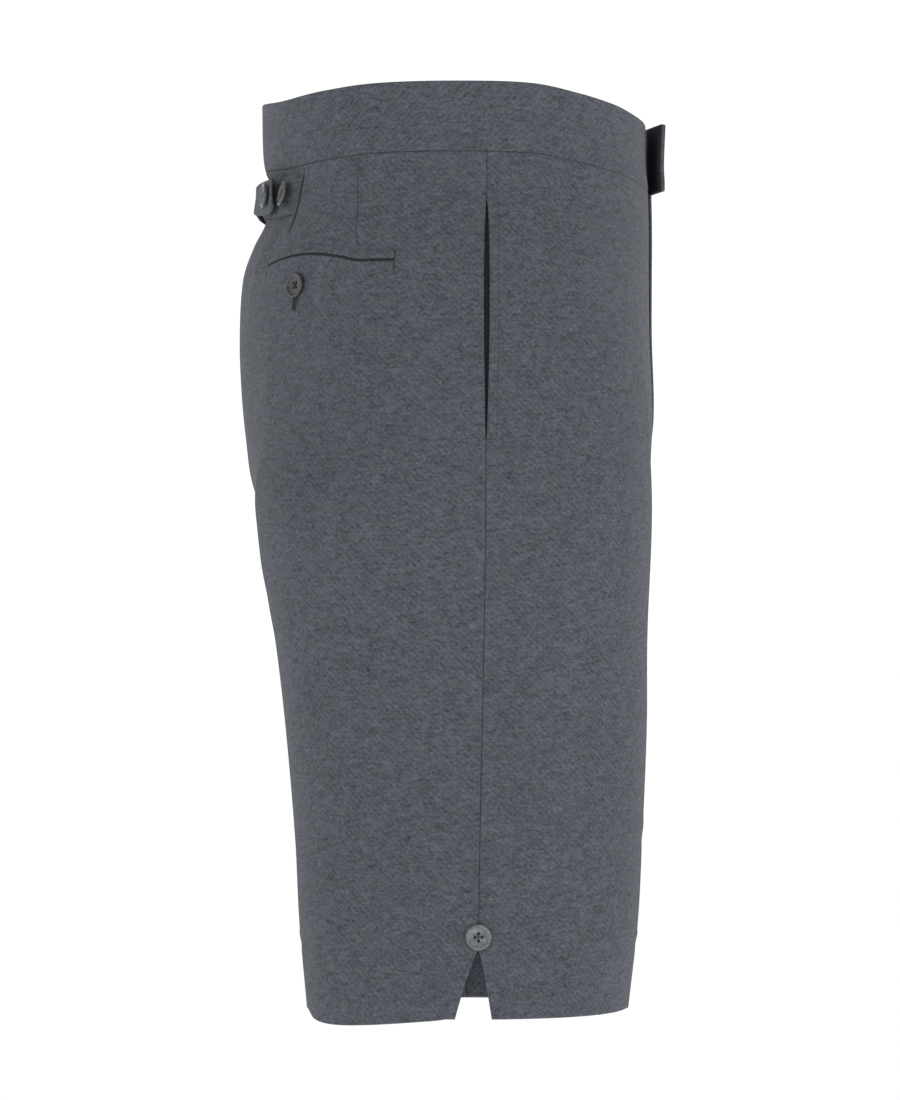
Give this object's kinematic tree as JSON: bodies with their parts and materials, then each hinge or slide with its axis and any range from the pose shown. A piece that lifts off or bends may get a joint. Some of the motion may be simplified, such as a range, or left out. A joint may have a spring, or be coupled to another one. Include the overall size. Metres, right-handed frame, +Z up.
{
  "type": "bermuda shorts",
  "caption": "Tailored knee-length shorts in mid grey wool, open as worn, with jetted hip pockets, a buttoned cinch strap at the back, and buttoned side vents at the hem.",
  "frame": {"origin": "middle of the waist, level with the middle of the waistband, where the wearer holds the garment", "axes": "+X to the wearer's left, -Y to the front, +Z up"},
  "size_m": [0.355, 0.2596, 0.5497],
  "materials": {
    "wool_cloth": "matte blue-grey wool with a fine fleck",
    "pocket_cloth": "matte dark cloth",
    "dark_horn": "satin dark horn",
    "grey_shell": "satin marbled grey",
    "sewing_thread": "matte thread"
  },
  "bodies": {
    "root": {"waistband_right": "wool_cloth", "front_right": "wool_cloth", "back_right": "wool_cloth", "pocket_facing_right": "pocket_cloth", "hip_jet_upper_right": "wool_cloth", "hip_jet_lower_right": "wool_cloth", "hip_button_right": "dark_horn", "hem_button_right": "grey_shell", "strap_right": "wool_cloth", "waistband_left": "wool_cloth", "front_left": "wool_cloth", "back_left": "wool_cloth", "pocket_facing_left": "pocket_cloth", "hip_jet_upper_left": "wool_cloth", "hip_jet_lower_left": "wool_cloth", "hip_button_left": "dark_horn", "hem_button_left": "grey_shell", "strap_left": "wool_cloth", "strap_button_fastened": "grey_shell", "strap_button_spare": "grey_shell"}
  },
  "joints": []
}
